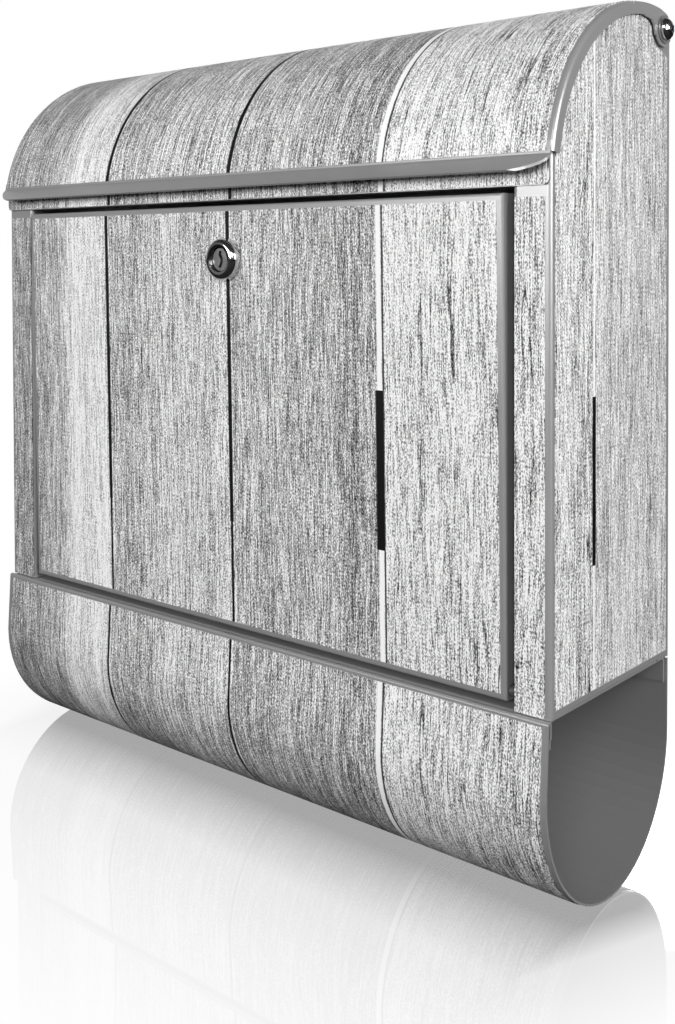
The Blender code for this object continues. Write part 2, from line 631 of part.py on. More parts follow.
def hex_nut(shop, name, across, bore, height, finish):
    """A hexagonal nut along local Z, its lower face at 0."""
    corners = arc((0, 0), across / math.sqrt(3), 0, 300, 5)
    hole = arc((0, 0), bore, 0, 345, 23)
    return shop.extruded(name, [corners, hole], 0, height, ALONG_Z, finish)


# ---- door ---------------------------------------------------------------------------------------


def door(shop, finish):
    """Shallow pan, open at the back, with a round hole for the lock and a pin hole in each side."""
    low = (OPENING_CENTRE_X - DOOR_WIDTH / 2, FRONT_Y, DOOR_LOW_Z)
    high = (OPENING_CENTRE_X + DOOR_WIDTH / 2, FRONT_Y + DOOR_DEPTH, DOOR_TOP_Z)
    pan = shop.box("door", low, high, finish, bevel=DOOR_EDGE)
    inner_low = [low[0] + SHEET, FRONT_Y + SHEET, low[2] + SHEET]
    inner_high = [high[0] - SHEET, FRONT_Y + 2 * DOOR_DEPTH, high[2] - SHEET]
    shop.combine(pan, shop.box("door_hollow", inner_low, inner_high), "DIFFERENCE")
    hole = point_forward(
        shop.cylinder("door_lock_hole", LOCK_BARREL + FIT, DRILL, 40), OPENING_CENTRE_X, FRONT_Y, LOCK_Z
    )
    shop.combine(pan, hole, "DIFFERENCE")
    for side, x in ((-1, low[0]), (1, high[0])):
        drill = shop.cylinder(f"door_pin_hole_{side}", HINGE_PIN + FIT, DRILL, 20)
        shop.combine(pan, point_along_x(drill, x, HINGE_Y, HINGE_Z), "DIFFERENCE")
    return pan


def door_hinge(shop, side, finishes):
    """A headed pin through the pan and the jamb, and the spacer that fills the gap between them."""
    label = "right" if side > 0 else "left"
    pan = side * OPENING_CENTRE_X + DOOR_WIDTH / 2
    jamb = side * OPENING_CENTRE_X + OPENING_WIDTH / 2
    start = pan - SHEET - FIT
    end = jamb + SHEET + HINGE_PIN_END
    profile = [(0, 0), (HINGE_HEAD, 0), (HINGE_HEAD, -HINGE_HEAD_HEIGHT), (0, -HINGE_HEAD_HEIGHT)]
    profile = [(0, end - start), (HINGE_PIN, end - start), (HINGE_PIN, 0)] + profile[1:]
    pin = shop.turned(f"door_hinge_pin_{label}", profile, 24, finishes["screw"])
    point_along_x(pin, side * start, HINGE_Y, HINGE_Z, side)
    width = jamb - pan - 2 * FIT
    ring(shop, f"door_hinge_spacer_{label}", HINGE_HEAD, HINGE_PIN + FIT, pan + FIT, width, side,
         finishes["spacer"], HINGE_Y, HINGE_Z)


# ---- lock ---------------------------------------------------------------------------------------


def lock_body(shop, finish):
    """Domed collar and threaded barrel with a bore for the plug; local +Z points out of the front."""
    back = CAM_Y - FIT - LOCK_SEAT
    crown = arc((LOCK_FACE, LOCK_RIM), (LOCK_COLLAR - LOCK_FACE, LOCK_PROUD - LOCK_RIM), 90, 0, 8)
    bore = LOCK_PLUG + FIT
    dish = (LOCK_FACE - LOCK_DISH, LOCK_PROUD - LOCK_DISH_EDGE)
    profile = [(bore, LOCK_PROUD - LOCK_DISH), dish]
    profile += crown + [(LOCK_COLLAR, 0), (LOCK_BARREL, 0), (LOCK_BARREL, -back), (bore, -back)]
    body = shop.turned("lock_body", profile, 48, finish)
    return point_forward(body, OPENING_CENTRE_X, LOCK_SEAT, LOCK_Z)


def lock_nut(shop, finish):
    nut = hex_nut(shop, "lock_nut", LOCK_NUT_ACROSS, LOCK_BARREL + FIT, LOCK_NUT, finish)
    return point_forward(nut, OPENING_CENTRE_X, FRONT_Y + SHEET + FIT + LOCK_NUT, LOCK_Z)


def lock_plug(shop, finish):
    """Turning core with a keyway across its front face and a square tail for the cam."""
    front = LOCK_FRONT + LOCK_DISH + PLUG_RECESS
    back = CAM_Y - FIT
    length = back - front
    tail = CAM_THICK + 2 * FIT
    profile = [(0, 0), (LOCK_PLUG - PLUG_CHAMFER, 0), (LOCK_PLUG, -PLUG_CHAMFER)]
    profile += [(LOCK_PLUG, -length), (0, -length)]
    plug = shop.turned("lock_plug", profile, 40, finish)
    point_forward(plug, OPENING_CENTRE_X, front, LOCK_Z)
    x, z = OPENING_CENTRE_X, LOCK_Z
    tail_low = (x - CAM_SQUARE, back - TAIL_ROOT, z - CAM_SQUARE)
    post = shop.box("lock_plug_tail", tail_low, (x + CAM_SQUARE, back + tail, z + CAM_SQUARE))
    shop.combine(plug, post, "UNION")
    bore = shop.cylinder("lock_plug_thread", CAM_SCREW_SHANK + FIT, 2 * CAM_SCREW_LENGTH, 20)
    point_forward(bore, x, back + tail, z)
    shop.combine(plug, bore, "DIFFERENCE")
    slot = [(x + u, z + v) for u, v in strip(KEYWAY, KEYWAY_WIDTH)]
    key = shop.extruded("lock_keyway", [slot], front - SHEET, front + KEYWAY_DEPTH, ALONG_Y)
    shop.combine(plug, key, "DIFFERENCE")
    return plug


def lock_cam(shop, finish):
    """Flat lever on the plug's tail, level when the lock is open and upright behind the rail when shut."""
    half = CAM_WIDTH / 2
    x, z = OPENING_CENTRE_X, LOCK_Z
    outline = arc((x, z), half, 90, 270, 12)
    outline += [(x + CAM_REACH - CAM_CORNER, z - half), (x + CAM_REACH, z - half + CAM_CORNER)]
    outline += [(x + CAM_REACH, z + half - CAM_CORNER), (x + CAM_REACH - CAM_CORNER, z + half)]
    square = CAM_SQUARE + FIT
    hole = rectangle((x - square, z - square), (x + square, z + square))
    return shop.extruded("lock_cam", [outline, hole], CAM_Y, CAM_Y + CAM_THICK, ALONG_Y, finish)


def cam_screw(shop, finish):
    start = CAM_Y + CAM_THICK + 2 * FIT
    head, low = CAM_SCREW_HEAD, -CAM_SCREW_HEIGHT
    profile = [(0, CAM_SCREW_LENGTH), (CAM_SCREW_SHANK, CAM_SCREW_LENGTH), (CAM_SCREW_SHANK, 0), (head, 0)]
    profile += [(head, low + CAM_SCREW_EDGE), (head - CAM_SCREW_EDGE, low), (0, low)]
    return point_forward(shop.turned("cam_screw", profile, 24, finish), OPENING_CENTRE_X, start, LOCK_Z)


# ---- printed film -------------------------------------------------------------------------------


def film_flat(shop, name, outline, face, way, finish, outward=-1):
    """A film on a flat face at the given depth; outward is the side that the film lies on."""
    near = face + outward * FILM_GAP
    far = near + outward * FILM
    return shop.extruded(name, outline, min(near, far), max(near, far), way, finish)


def film_sides(shop, finish):
    low = BOTTOM_Z + SIDE_FILM_LOWER
    top = SIDE_TOP_RADIUS - FILM_MARGIN
    centre = (LID_CENTRE_Y, LID_CENTRE_Z)
    front = FRONT_Y + FILM_MARGIN
    back = -FILM_MARGIN
    front_angle = math.degrees(math.acos((front - LID_CENTRE_Y) / top))
    outline = [(front, low), (back, low), (back, TOP_Z - FILM_BELOW_EAR)]
    outline += arc((PIVOT_Y, PIVOT_Z), EAR_RADIUS + FILM_ROUND_EAR, 270, 180, 6)
    outline += arc(centre, top, 93, front_angle, 18)
    for side, label in ((-1, "left"), (1, "right")):
        film_flat(shop, f"film_side_{label}", [outline], side * HALF_WIDTH, ALONG_X, finish, side)


def film_front(shop, finish):
    lower = BOTTOM_Z + FIT
    upper = RAIL_BOTTOM_Z - STRIP_FILM_TOP
    outer = HALF_WIDTH - FILM_MARGIN
    right = rectangle((OPENING_RIGHT + DOOR_EDGE, lower), (outer, upper))
    left = rectangle((-outer, lower), (OPENING_LEFT - DOOR_EDGE, upper))
    film_flat(shop, "film_front_right", [right], FRONT_Y, ALONG_Y, finish)
    film_flat(shop, "film_front_left", [left], FRONT_Y, ALONG_Y, finish)
    rail_low = RAIL_BOTTOM_Z + RAIL_FILM_LOWER
    rail_half = HALF_WIDTH - FILM_MARGIN / 2
    rail = rectangle((-rail_half, rail_low), (rail_half, LIP_TOP_Z - RAIL_FILM_UPPER))
    film_flat(shop, "film_top_rail", [rail], FRONT_Y - RAIL_PROUD, ALONG_Y, finish)


def film_door(shop, finish):
    inset = FILM_MARGIN
    low = (OPENING_CENTRE_X - DOOR_WIDTH / 2 + inset, DOOR_LOW_Z + inset)
    high = (OPENING_CENTRE_X + DOOR_WIDTH / 2 - inset, DOOR_TOP_Z - inset)
    hole = arc((OPENING_CENTRE_X, LOCK_Z), LOCK_BARREL + FIT, 0, 350, 35)
    return film_flat(shop, "film_door", [rectangle(low, high), hole], FRONT_Y, ALONG_Y, finish)


def film_lid(shop, finish):
    rear, front, _ = lid_angles()
    half = FLANGE_OUTER_X - LID_FILM_MARGIN
    low = LID_RADIUS + FILM_GAP
    section = rectangle((-half, low), (half, low + FILM))
    step = (front - rear) / LID_STEPS
    return shop.swept(
        "film_lid", section, (LID_CENTRE_Y, LID_CENTRE_Z), rear + step, front, LID_STEPS - 1, finish
    )


def film_tray(shop, finish):
    path = tray_path()
    top = path[0]
    knee = path[1]
    share = TRAY_FILM_UPPER / (top[1] - knee[1])
    first = (top[0] + (knee[0] - top[0]) * share, top[1] - TRAY_FILM_UPPER)
    path = [first] + path[1:]
    middle = offset(path, -(SHEET / 2 + FILM_GAP + FILM / 2))
    middle = [p for p in middle if p[0] < -FILM_MARGIN][:-1]
    half = HALF_WIDTH - FILM_MARGIN
    return shop.extruded("film_tray", [strip(middle, FILM)], -half, half, ALONG_X, finish)


# ---- assembly -----------------------------------------------------------------------------------


def rivets(shop, finish):
    start = TRAY_BACK_Y - SHEET - FIT - SHEET / 2 - FIT
    for x, label in rivet_places():
        profile = arc((0, 0), (RIVET_HEAD, RIVET_HEIGHT), 90, 0, 5)
        profile[0] = (0, RIVET_HEIGHT)
        profile += [(RIVET_RADIUS, 0), (RIVET_RADIUS, start + RIVET_TAIL), (0, start + RIVET_TAIL)]
        rivet = shop.turned(f"tray_rivet_{label}", profile, 20, finish)
        point_forward(rivet, x, start, FLOOR_Z - FLOOR_FLANGE / 2)


def hang(pieces, name, place, tilt=0.0):
    """Parents the pieces to an empty on their joint's axis, then leans the empty about X."""
    axis = bpy.data.objects.new(name, None)
    bpy.context.scene.collection.objects.link(axis)
    axis.location = place
    bpy.context.view_layer.update()
    for piece in pieces:
        world = piece.matrix_world.copy()
        piece.parent = axis
        piece.matrix_parent_inverse = Matrix.Translation(place).inverted()
        piece.matrix_basis = world
    axis.rotation_euler.x = tilt
    return axis


def build():
    clear_scene()
    shop = Workshop()
    coat = material("silver_coat", (0.42, 0.42, 0.43), 0.42, 0.6)
    print_film = material("printed_film", (0.55, 0.55, 0.55), 0.45, 0.0)
    chrome = material("chrome", (0.75, 0.75, 0.77), 0.12, 1.0)
    zinc = material("zinc", (0.55, 0.55, 0.56), 0.35, 0.9)
    nylon = material("nylon", (0.08, 0.08, 0.08), 0.5, 0.0)
    finishes = {"screw": chrome, "washer": zinc, "spacer": nylon, "nut": zinc}

    back_panel(shop, coat)
    floor_panel(shop, coat)
    front_top_rail(shop, coat)
    newspaper_tray(shop, coat)
    rivets(shop, zinc)
    for side in (-1, 1):
        side_panel(shop, side, coat)
        lid_pivot(shop, side, finishes)
        door_hinge(shop, side, finishes)
    film_sides(shop, print_film)
    film_front(shop, print_film)
    film_tray(shop, print_film)

    cover = lid(shop, coat)
    lid_pieces = [cover, film_lid(shop, print_film)]
    door_pieces = [door(shop, coat), film_door(shop, print_film), lock_body(shop, chrome)]
    door_pieces += [lock_nut(shop, zinc), lock_plug(shop, chrome), lock_cam(shop, zinc)]
    door_pieces += [cam_screw(shop, zinc)]
    moving = {obj.name for obj in lid_pieces + door_pieces}
    cutters = shop.cutters.objects
    door_pieces += [obj for obj in cutters if obj.name.startswith(("door_", "lock_"))]
    lid_pieces += [obj for obj in cutters if obj.name.startswith("lid_") and "cross" not in obj.name]
    hang(lid_pieces, "lid_axis", (0, PIVOT_Y, PIVOT_Z))
    hang(door_pieces, "door_axis", (0, HINGE_Y, HINGE_Z), DOOR_LEAN)
    print(f"{len(shop.parts.objects)} pieces, {len(moving)} of them on a joint")


build()
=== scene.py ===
# %% [markdown]
# # A wall mailbox with a printed film
#
# The mailbox is a box of folded sheet metal with a silver powder coat. A film with a picture of
# weathered planks is stuck on every face that shows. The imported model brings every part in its
# place; this script gives each one its finish, and makes three pieces again with a fine, smooth
# surface: the film on the lid, the film on the tray and the collar of the lock.

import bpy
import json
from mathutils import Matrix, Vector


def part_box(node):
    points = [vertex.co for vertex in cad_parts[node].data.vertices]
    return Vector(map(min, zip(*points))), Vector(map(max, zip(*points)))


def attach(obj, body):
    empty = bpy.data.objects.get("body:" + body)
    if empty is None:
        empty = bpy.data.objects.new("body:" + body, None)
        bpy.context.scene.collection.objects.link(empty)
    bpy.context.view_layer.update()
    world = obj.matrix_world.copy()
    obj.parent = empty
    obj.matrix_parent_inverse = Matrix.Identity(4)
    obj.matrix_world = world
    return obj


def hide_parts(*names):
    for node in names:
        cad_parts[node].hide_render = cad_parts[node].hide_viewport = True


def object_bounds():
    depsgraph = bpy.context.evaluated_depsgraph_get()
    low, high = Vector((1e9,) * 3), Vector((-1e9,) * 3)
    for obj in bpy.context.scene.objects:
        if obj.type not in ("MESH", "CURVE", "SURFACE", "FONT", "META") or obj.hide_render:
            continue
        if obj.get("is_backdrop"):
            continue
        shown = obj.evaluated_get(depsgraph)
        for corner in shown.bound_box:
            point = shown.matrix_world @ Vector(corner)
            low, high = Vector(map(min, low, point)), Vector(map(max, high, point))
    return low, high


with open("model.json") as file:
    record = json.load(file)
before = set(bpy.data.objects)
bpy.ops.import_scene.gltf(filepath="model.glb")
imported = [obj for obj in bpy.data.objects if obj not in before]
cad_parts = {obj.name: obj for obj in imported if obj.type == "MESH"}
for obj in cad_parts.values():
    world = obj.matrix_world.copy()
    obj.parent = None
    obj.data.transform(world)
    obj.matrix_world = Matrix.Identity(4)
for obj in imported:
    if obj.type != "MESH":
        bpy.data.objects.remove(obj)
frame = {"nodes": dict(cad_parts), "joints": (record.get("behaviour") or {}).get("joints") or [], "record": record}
cad_low, cad_high = (list(corner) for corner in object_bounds())

import json
import math

import bmesh
import bpy
import numpy as np
from mathutils import Euler, Vector

print("CAD box", [round(v, 4) for v in cad_low], [round(v, 4) for v in cad_high])

# %% [markdown]
# ## Sizes from the frame
#
# Every size comes from the boxes of the frame's own parts, so the new pieces fit wherever the
# model puts its parts.

# %% Measure the boxes
side_low, side_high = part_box("side_panel_right")
tray_low, tray_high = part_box("newspaper_tray")
tray_film_low, tray_film_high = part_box("film_tray")

HALF_WIDTH = side_high[0]
FRONT_Y = side_low[1]
BODY_LOW_Z = side_low[2]
FILM_OUT = 0.0003       # outer face of the film above the metal
FILM_THICK = 0.00025
SHARP_ANGLE = math.radians(35)      # an edge that turns more than this stays sharp
NEAR = 1e-5             # two places closer than this are the same place
print("half width", round(HALF_WIDTH, 4), "front", round(FRONT_Y, 4), "foot", round(BODY_LOW_Z, 4))

# %% [markdown]
# The lid is rolled round a circle. The least-squares circle through the points of its film gives
# the centre, and the outermost point gives the radius.

# %% Measure the lid's arc


def vertices_of(node):
    """All corners of a frame part as an array of points."""
    mesh = frame["nodes"][node].data
    points = np.empty(len(mesh.vertices) * 3)
    mesh.vertices.foreach_get("co", points)
    return points.reshape(-1, 3)


def circle_centre(y, z):
    """Centre of the least-squares circle: on a circle, y^2 + z^2 is linear in y and z."""
    matrix = np.column_stack([y, z, np.ones_like(y)])
    a, b, _ = np.linalg.lstsq(matrix, y ** 2 + z ** 2, rcond=None)[0]
    return a / 2, b / 2


film_points = vertices_of("film_lid")
LID_Y, LID_Z = circle_centre(film_points[:, 1], film_points[:, 2])
LID_FILM_RADIUS = np.hypot(film_points[:, 1] - LID_Y, film_points[:, 2] - LID_Z).max()
LID_RADIUS = LID_FILM_RADIUS - FILM_OUT
film_angles = np.arctan2(film_points[:, 2] - LID_Z, film_points[:, 1] - LID_Y)
LID_FRONT_ANGLE, LID_REAR_ANGLE = film_angles.max(), film_angles.min()
print("lid arc radius", round(LID_RADIUS, 5), "centre", round(LID_Y, 5), round(LID_Z, 5))

# %% [markdown]
# ## A mesh from whole arrays
#
# A new piece starts as arrays: its points, its quads and, for a film, the place in the print at
# each point. A grid of points gives its quads by joining each point to its neighbours.

# %% Meshes from arrays


def mesh_object(name, points, faces, uv=None):
    """An object from arrays of points and of quads; uv has one pair for each point."""
    mesh = bpy.data.meshes.new(name)
    mesh.from_pydata(points.tolist(), [], faces.tolist())
    if uv is not None:
        layer = mesh.uv_layers.new(name="print")
        corners = np.empty(len(mesh.loops), np.int32)
        mesh.loops.foreach_get("vertex_index", corners)
        layer.uv.foreach_set("vector", uv[corners].astype(np.float32).ravel())
    mesh.update()
    made = bpy.data.objects.new(name, mesh)
    bpy.context.scene.collection.objects.link(made)
    return made


def quads(index):
    """Quads over a grid of point numbers: each joins four neighbours."""
    corners = [index[:-1, :-1], index[1:, :-1], index[1:, 1:], index[:-1, 1:]]
    return np.stack(corners, axis=-1).reshape(-1, 4)


def face_outward(made, merge=0.0):
    """Welds points closer than merge, turns faces outward and smooths all but the sharp edges."""
    shape = bmesh.new()
    shape.from_mesh(made.data)
    if merge:
        bmesh.ops.remove_doubles(shape, verts=shape.verts, dist=merge)
    bmesh.ops.recalc_face_normals(shape, faces=shape.faces)
    shape.to_mesh(made.data)
    shape.free()
    made.data.shade_smooth()
    made.data.set_sharp_from_angle(angle=SHARP_ANGLE)
    print(made.name, len(made.data.polygons), "faces")
    return made


# %% [markdown]
# A film is two surfaces a small distance apart. Both are grids of points, so one function closes
# any such pair: it lays quads over the two grids and round their four rims.

# %% Thick sheets from two grids


def thick_sheet(name, outer, inner, uv):
    """Closed sheet between an outer and an inner grid of the same shape (rows, columns, 3)."""
    rows, columns, _ = outer.shape
    top = np.arange(rows * columns).reshape(rows, columns)
    bottom = top + rows * columns
    rims = [np.stack([a, b], axis=1) for a, b in (
        (bottom[:, 0], top[:, 0]), (top[:, -1], bottom[:, -1]),
        (top[0, :], bottom[0, :]), (bottom[-1, :], top[-1, :]),
    )]
    faces = np.concatenate([quads(top), quads(bottom)[:, ::-1], *map(quads, rims)])
    points = np.concatenate([outer.reshape(-1, 3), inner.reshape(-1, 3)])
    both = np.concatenate([uv.reshape(-1, 2)] * 2)
    return face_outward(mesh_object(name, points, faces, both))


# %% [markdown]
# ## Shader maths as Python
#
# A pattern is a formula. This small class wraps a node's output, so that a formula is written as
# it would be on paper and each operator adds its Math node.

# %% Sockets with operators


class Value:
    """A number that varies over a surface: the output of a shader node."""

    def __init__(self, maker, socket):
        self.maker = maker
        self.socket = socket

    def _math(self, operation, *inputs):
        return self.maker.node("ShaderNodeMath", {"operation": operation}, inputs)

    def __add__(self, other):
        return self._math("ADD", self, other)

    __radd__ = __add__

    def __sub__(self, other):
        return self._math("SUBTRACT", self, other)

    def __rsub__(self, other):
        return self._math("SUBTRACT", other, self)

    def __mul__(self, other):
        return self._math("MULTIPLY", self, other)

    __rmul__ = __mul__

    def __truediv__(self, other):
        return self._math("DIVIDE", self, other)

    def __rtruediv__(self, other):
        return self._math("DIVIDE", other, self)

    def __pow__(self, other):
        return self._math("POWER", self, other)

    def __abs__(self):
        return self._math("ABSOLUTE", self)

    def __gt__(self, other):
        return self._math("GREATER_THAN", self, other)

    def __lt__(self, other):
        return self._math("LESS_THAN", self, other)

    def least(self, other):
        return self._math("MINIMUM", self, other)

    def most(self, other):
        return self._math("MAXIMUM", self, other)

    def fade(self, start, end):
        """0 at start and 1 at end, straight between them and level outside."""
        inputs = {"Value": self, "From Min": start, "From Max": end, "To Min": 0.0, "To Max": 1.0}
        return self.maker.node("ShaderNodeMapRange", {"clamp": True}, inputs, "Result")


# %% [markdown]
# Every other node comes from one method, which takes its type, its settings and its inputs. A
# finish is such a set of nodes with a surface shader, whose constants are set on its own sockets.

# %% Node sets and finishes


class Nodes:
    """A node tree, and one method that adds any node."""

    def __init__(self, tree):
        self.tree = tree

    def node(self, kind, settings=None, inputs=None, output=0):
        made = self.tree.nodes.new(kind)
        for key, value in (settings or {}).items():
            setattr(made, key, value)
        pairs = inputs.items() if isinstance(inputs, dict) else enumerate(inputs or [])
        for key, value in pairs:
            if isinstance(value, Value):
                self.tree.links.new(value.socket, made.inputs[key])
            else:
                made.inputs[key].default_value = value
        return Value(self, made.outputs[output])

    def show(self, output, shader):
        """Makes this shader the one that is drawn."""
        self.tree.links.new(shader.socket, self.tree.nodes[output].inputs["Surface"])


class Finish(Nodes):
    """A material with its surface shader."""

    def __init__(self, name, roughness=0.5, metallic=0.0, colour=(0.5, 0.5, 0.5)):
        self.material = bpy.data.materials.new(name)
        self.material.use_nodes = True
        super().__init__(self.material.node_tree)
        self.shader = self.tree.nodes["Principled BSDF"]
        self.shader.inputs["Base Color"].default_value = (*colour, 1)
        self.shader.inputs["Roughness"].default_value = roughness
        self.shader.inputs["Metallic"].default_value = metallic

    def feed(self, name, value):
        self.tree.links.new(value.socket, self.shader.inputs[name])

    def place(self):
        """Object coordinates as three numbers."""
        where = self.node("ShaderNodeTexCoord", output="Object")
        return [self.node("ShaderNodeSeparateXYZ", None, [where], axis) for axis in (0, 1, 2)]

    def vector(self, x, y, z):
        return self.node("ShaderNodeCombineXYZ", None, [x, y, z])

    def grey(self, value):
        return self.vector(value, value, value)

    def noise(self, x, y, z, detail=2.0, roughness=0.5):
        """Noise between -0.5 and 0.5, and 0 on average."""
        where = self.vector(x, y, z)
        inputs = {"Vector": where, "Scale": 1.0, "Detail": detail, "Roughness": roughness}
        return self.node("ShaderNodeTexNoise", {"noise_dimensions": "3D"}, inputs) - 0.5

    def ramp(self, value, stops):
        """A grey that goes straight from stop to stop; each stop is a pair (value, grey)."""
        low, high = stops[0][0], stops[-1][0]
        shade = self.node("ShaderNodeValToRGB", None, [value.fade(low, high)])
        points = shade.socket.node.color_ramp.elements
        while len(points) < len(stops):
            points.new(1.0)
        for point, (place, grey) in zip(points, stops):
            point.position = (place - low) / (high - low)
            point.color = (grey, grey, grey, 1)
        return self.node("ShaderNodeSeparateColor", None, [shade])

    def bump(self, height, distance, strength):
        inputs = {"Height": height, "Distance": distance, "Strength": strength}
        self.feed("Normal", self.node("ShaderNodeBump", None, inputs))


# %% [markdown]
# ## The plank print
#
# The film shows six grey boards side by side, with the grain running up and down. The picture
# runs on from the lid over the door to the tray, and round the corners to the sides, so it needs
# two numbers at each point of the film: how far across it is and how far up. On a flat face these
# are the place itself; on the lid and the tray they are a UV map that measures along the bent
# sheet.

# %% Where a point lies in the print


def spot_in_print(finish, face):
    """How far across and how far up the print a point of this face is."""
    if face == "bent":
        spot = finish.node("ShaderNodeUVMap", {"uv_map": "print"})
        return [finish.node("ShaderNodeSeparateXYZ", None, [spot], axis) for axis in (0, 1)]
    x, y, z = finish.place()
    past_corner = HALF_WIDTH - FRONT_Y
    return {"front": x, "right": y + past_corner, "left": -1.0 * y - past_corner}[face], z


# %% [markdown]
# Real boards differ in tone, so each one has its own numbers, which step at the joints. The tone
# also drifts across a board, and a ramp over the whole width of the print gives that.

# %% The boards
JOINTS = (-0.2150, -0.0945, 0.0035, 0.1027, 0.2290)
BOARD_SEED = (11.0, 23.0, 37.0, 41.0, 53.0, 67.0)
BOARD_CRACKS = (0.35, 0.20, 0.30, 0.20, 1.00, 0.35)
BOARD_CONTRAST = (0.90, 0.88, 1.15, 1.05, 1.20, 0.85)
# How light the wood is, as a share of white as the eye sees it, from place to place across.
TONES = (
    (-0.3050, 0.74), (-0.2160, 0.80), (-0.2140, 0.70), (-0.1900, 0.62), (-0.1600, 0.64),
    (-0.1400, 0.70), (-0.1270, 0.93), (-0.0960, 0.91), (-0.0940, 0.66), (-0.0700, 0.70),
    (-0.0450, 0.79), (0.0025, 0.78), (0.0045, 0.70), (0.0400, 0.72), (0.0700, 0.68),
    (0.1015, 0.61), (0.1040, 0.92), (0.1500, 0.88), (0.1900, 0.84), (0.2280, 0.77),
    (0.2300, 0.76), (0.2700, 0.77), (0.3050, 0.74),
)


def by_board(across, values):
    """Picks the board's own number: it steps at each joint."""
    total = values[0]
    for joint, before, after in zip(JOINTS, values, values[1:]):
        total = (across > joint) * (after - before) + total
    return total


# %% [markdown]
# Old wood has broad bands where it aged, streaks, a fine broken grain and specks. Each of these
# is a noise stretched along the grain: its width across the board and its length along it set its
# size. A slow drift bends them all, so that no line is quite straight. Cracks and pits are the
# same kind of noise, cut off at a level, and they come only where the board is cracked.

# %% The grain
DRIFT = (0.05, 0.11)        # each is a width and a length in metres
BROAD = (0.013, 0.30)
STREAK = (0.0024, 0.050)
THREAD = (0.00070, 0.0190)
GRAIN = (0.00066, 0.0042)
SPECK = (0.00055, 0.0011)
SPLIT = (0.0085, 0.16)
SPLIT_REGION = (0.011, 0.05)
PIT = (0.0014, 0.0065)
DRIFT_BEND = 0.006
THREAD_RELIEF = 0.00004


def stretched(finish, across, up, size, seed, detail=2.0, roughness=0.5):
    return finish.noise(across / size[0], up / size[1], seed, detail, roughness)


def wood_grain(finish, across, up):
    """The fields of the grain by name: broad, streak, thread, fine, split and pit."""
    board = by_board(across, BOARD_SEED)
    cracks = by_board(across, BOARD_CRACKS)
    bent = across + stretched(finish, across, up, DRIFT, board) * DRIFT_BEND
    field = {
        "broad": stretched(finish, bent, up, BROAD, board + 3.1),
        "streak": stretched(finish, bent, up, STREAK, board + 5.7, 3.0, 0.6),
        "thread": stretched(finish, bent, up, THREAD, board + 7.4, 2.0, 0.6),
    }
    grain = stretched(finish, bent, up, GRAIN, board + 9.2, 1.0, 0.6)
    speck = stretched(finish, bent, up, SPECK, board + 1.9, 1.0)
    field["fine"] = field["thread"] * 1.45 + grain * 0.75 + speck * 1.60
    middle_of_noise = abs(stretched(finish, bent, up, SPLIT, board + 14.0, 2.0, 0.55))
    open_where = stretched(finish, bent, up, SPLIT_REGION, board + 17.0).fade(-0.03, 0.10)
    field["split"] = (1.0 - middle_of_noise.fade(0.002, 0.014)) * open_where * cracks
    pit = stretched(finish, bent, up, PIT, board + 25.0)
    field["pit"] = pit.fade(0.16, 0.28) * cracks
    return field


# %% [markdown]
# The joints between the boards are thin dark lines with a lighter edge beside them. One is an
# open gap that shows white above and black below, where it is also wider.

# %% The joints
THIN_BELOW = BODY_LOW_Z + 0.0590    # lower down, the joints close up
GAP_TOP = BODY_LOW_Z + 0.1340       # the open gap is black from here down to THIN_BELOW
JOINT_LINE, JOINT_LINE_CLOSED = 0.0025, 0.0015
EDGE_SHIFT, EDGE_LINE, EDGE_LIGHT = 0.0017, 0.0011, 0.16
GAP_LINE, GAP_WIDER = 0.0030, 0.0020
GAP_EDGE_SHIFT, GAP_EDGE_LINE, GAP_EDGE_DARK = 0.0022, 0.0010, 0.75
GAP_WHITE, GAP_BLACK = 0.985, 0.025
SIDE_GAP_LINE, SIDE_GAP_WIDER = 0.0014, 0.0016
LEFT_LINE = 0.0018


def line_at(across, place, width):
    """1 on a line of the given width, with soft edges, and 0 away from it."""
    return 1.0 - (abs(across - place) / width).fade(0.38, 0.62)


def draw_joints(tone, across, up):
    """The tone with the joints drawn over it, from the middle ones to the outermost."""
    closed = up < THIN_BELOW
    black = (up > THIN_BELOW) * (up < GAP_TOP)
    gap_tone = GAP_WHITE - black * (GAP_WHITE - GAP_BLACK)
    for place in JOINTS[1:3]:
        width = JOINT_LINE - closed * (JOINT_LINE - JOINT_LINE_CLOSED)
        tone = tone * (1.0 - line_at(across, place, width))
        tone = tone + line_at(across, place + EDGE_SHIFT, EDGE_LINE) * EDGE_LIGHT
    gap = line_at(across, JOINTS[3], GAP_LINE + black * GAP_WIDER)
    tone = tone * (1.0 - gap) + gap * gap_tone
    gap_edge = line_at(across, JOINTS[3] + GAP_EDGE_SHIFT, GAP_EDGE_LINE)
    tone = tone * (1.0 - gap_edge * GAP_EDGE_DARK * (1.0 - black))
    side_gap = line_at(across, JOINTS[4], SIDE_GAP_LINE + black * SIDE_GAP_WIDER)
    tone = tone * (1.0 - side_gap) + side_gap * gap_tone
    return tone * (1.0 - line_at(across, JOINTS[0], LEFT_LINE))


# %% [markdown]
# The film itself is a matt print under a thin clear layer. Its tone is worked out as the eye sees
# it and then turned into the share of light that it sends back. Painted shade darkens it a little
# towards the top of the body and more towards the belly of the tray, where the sheet bends away from the light.

# %% The printed film
EYE_POWER = 2.2             # from a tone as the eye sees it to a share of light
# Painted shade on the print: from this height, to this one, it is darkened by this share.
PAINTED_SHADE_UP = (0.10, 0.19, 0.13)          # from this height, to this one, by this share
PAINTED_SHADE_DOWN = (-0.165, -0.255, 0.24)


